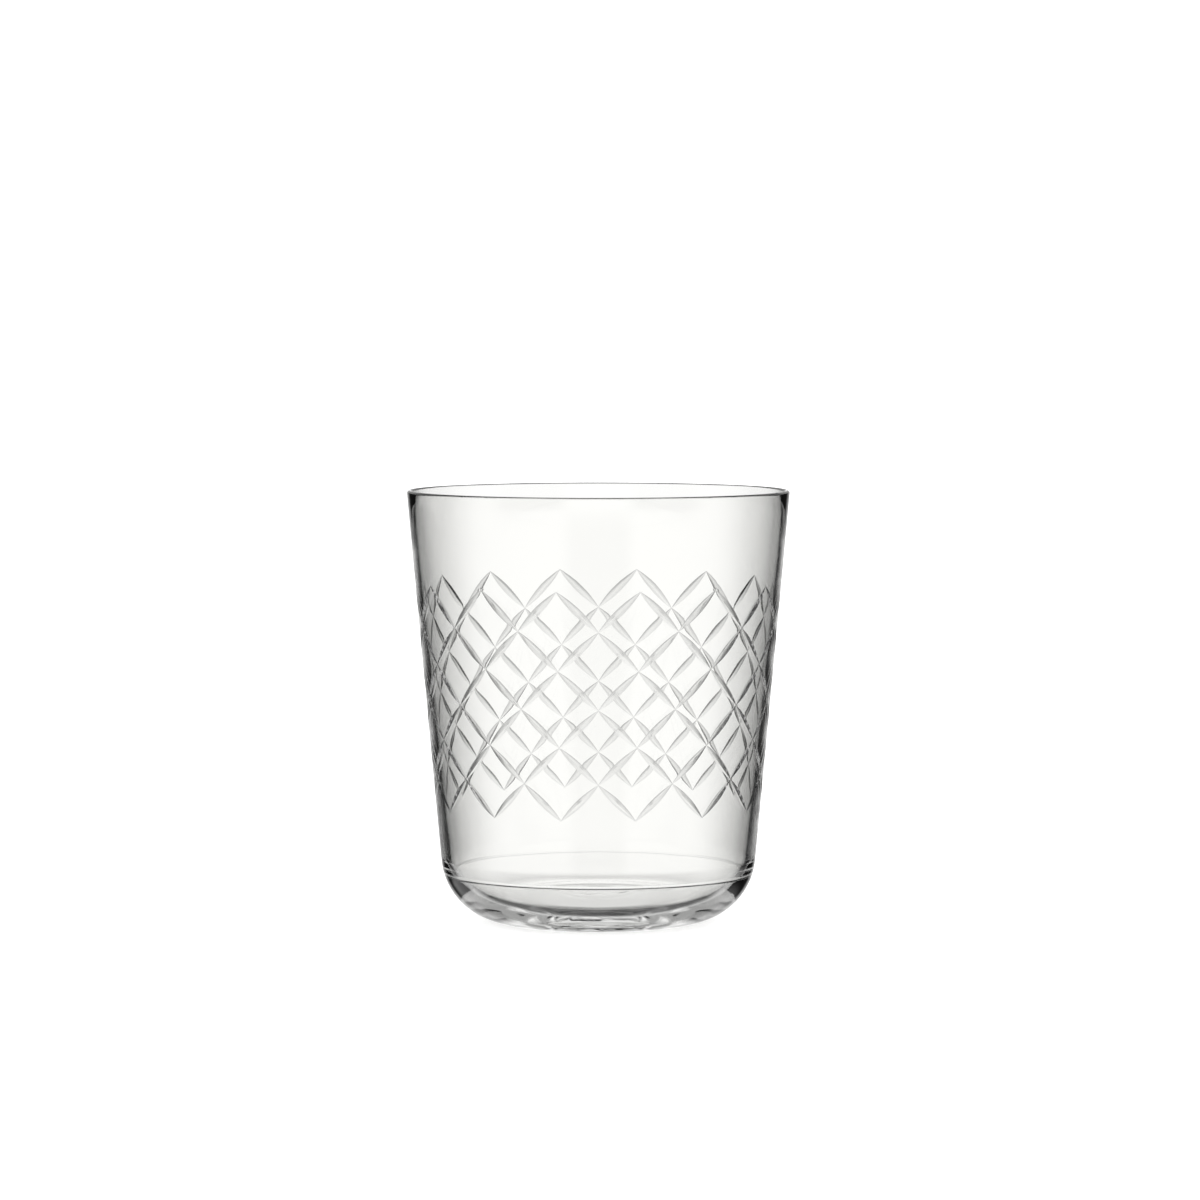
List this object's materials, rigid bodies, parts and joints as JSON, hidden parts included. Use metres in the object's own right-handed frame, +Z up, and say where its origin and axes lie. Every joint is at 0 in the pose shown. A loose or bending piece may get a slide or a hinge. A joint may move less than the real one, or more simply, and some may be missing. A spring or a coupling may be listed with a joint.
{
  "type": "whiskey tumbler",
  "caption": "Low clear-glass tumbler with a thin tapered wall, a round heel, a thick base and a wheel-cut band of diamonds round the middle.",
  "frame": {"origin": "centre of the plane that the foot ring stands on", "axes": "+Z up through the mouth, along the axis of the glass; -Y is the front, at the middle of a diamond of the band's top row; +X is to the right of the front"},
  "size_m": [0.084, 0.084, 0.095],
  "materials": {
    "clear_glass": "clear, polished"
  },
  "bodies": {
    "root": {"tumbler_glass": "clear_glass"}
  },
  "joints": []
}
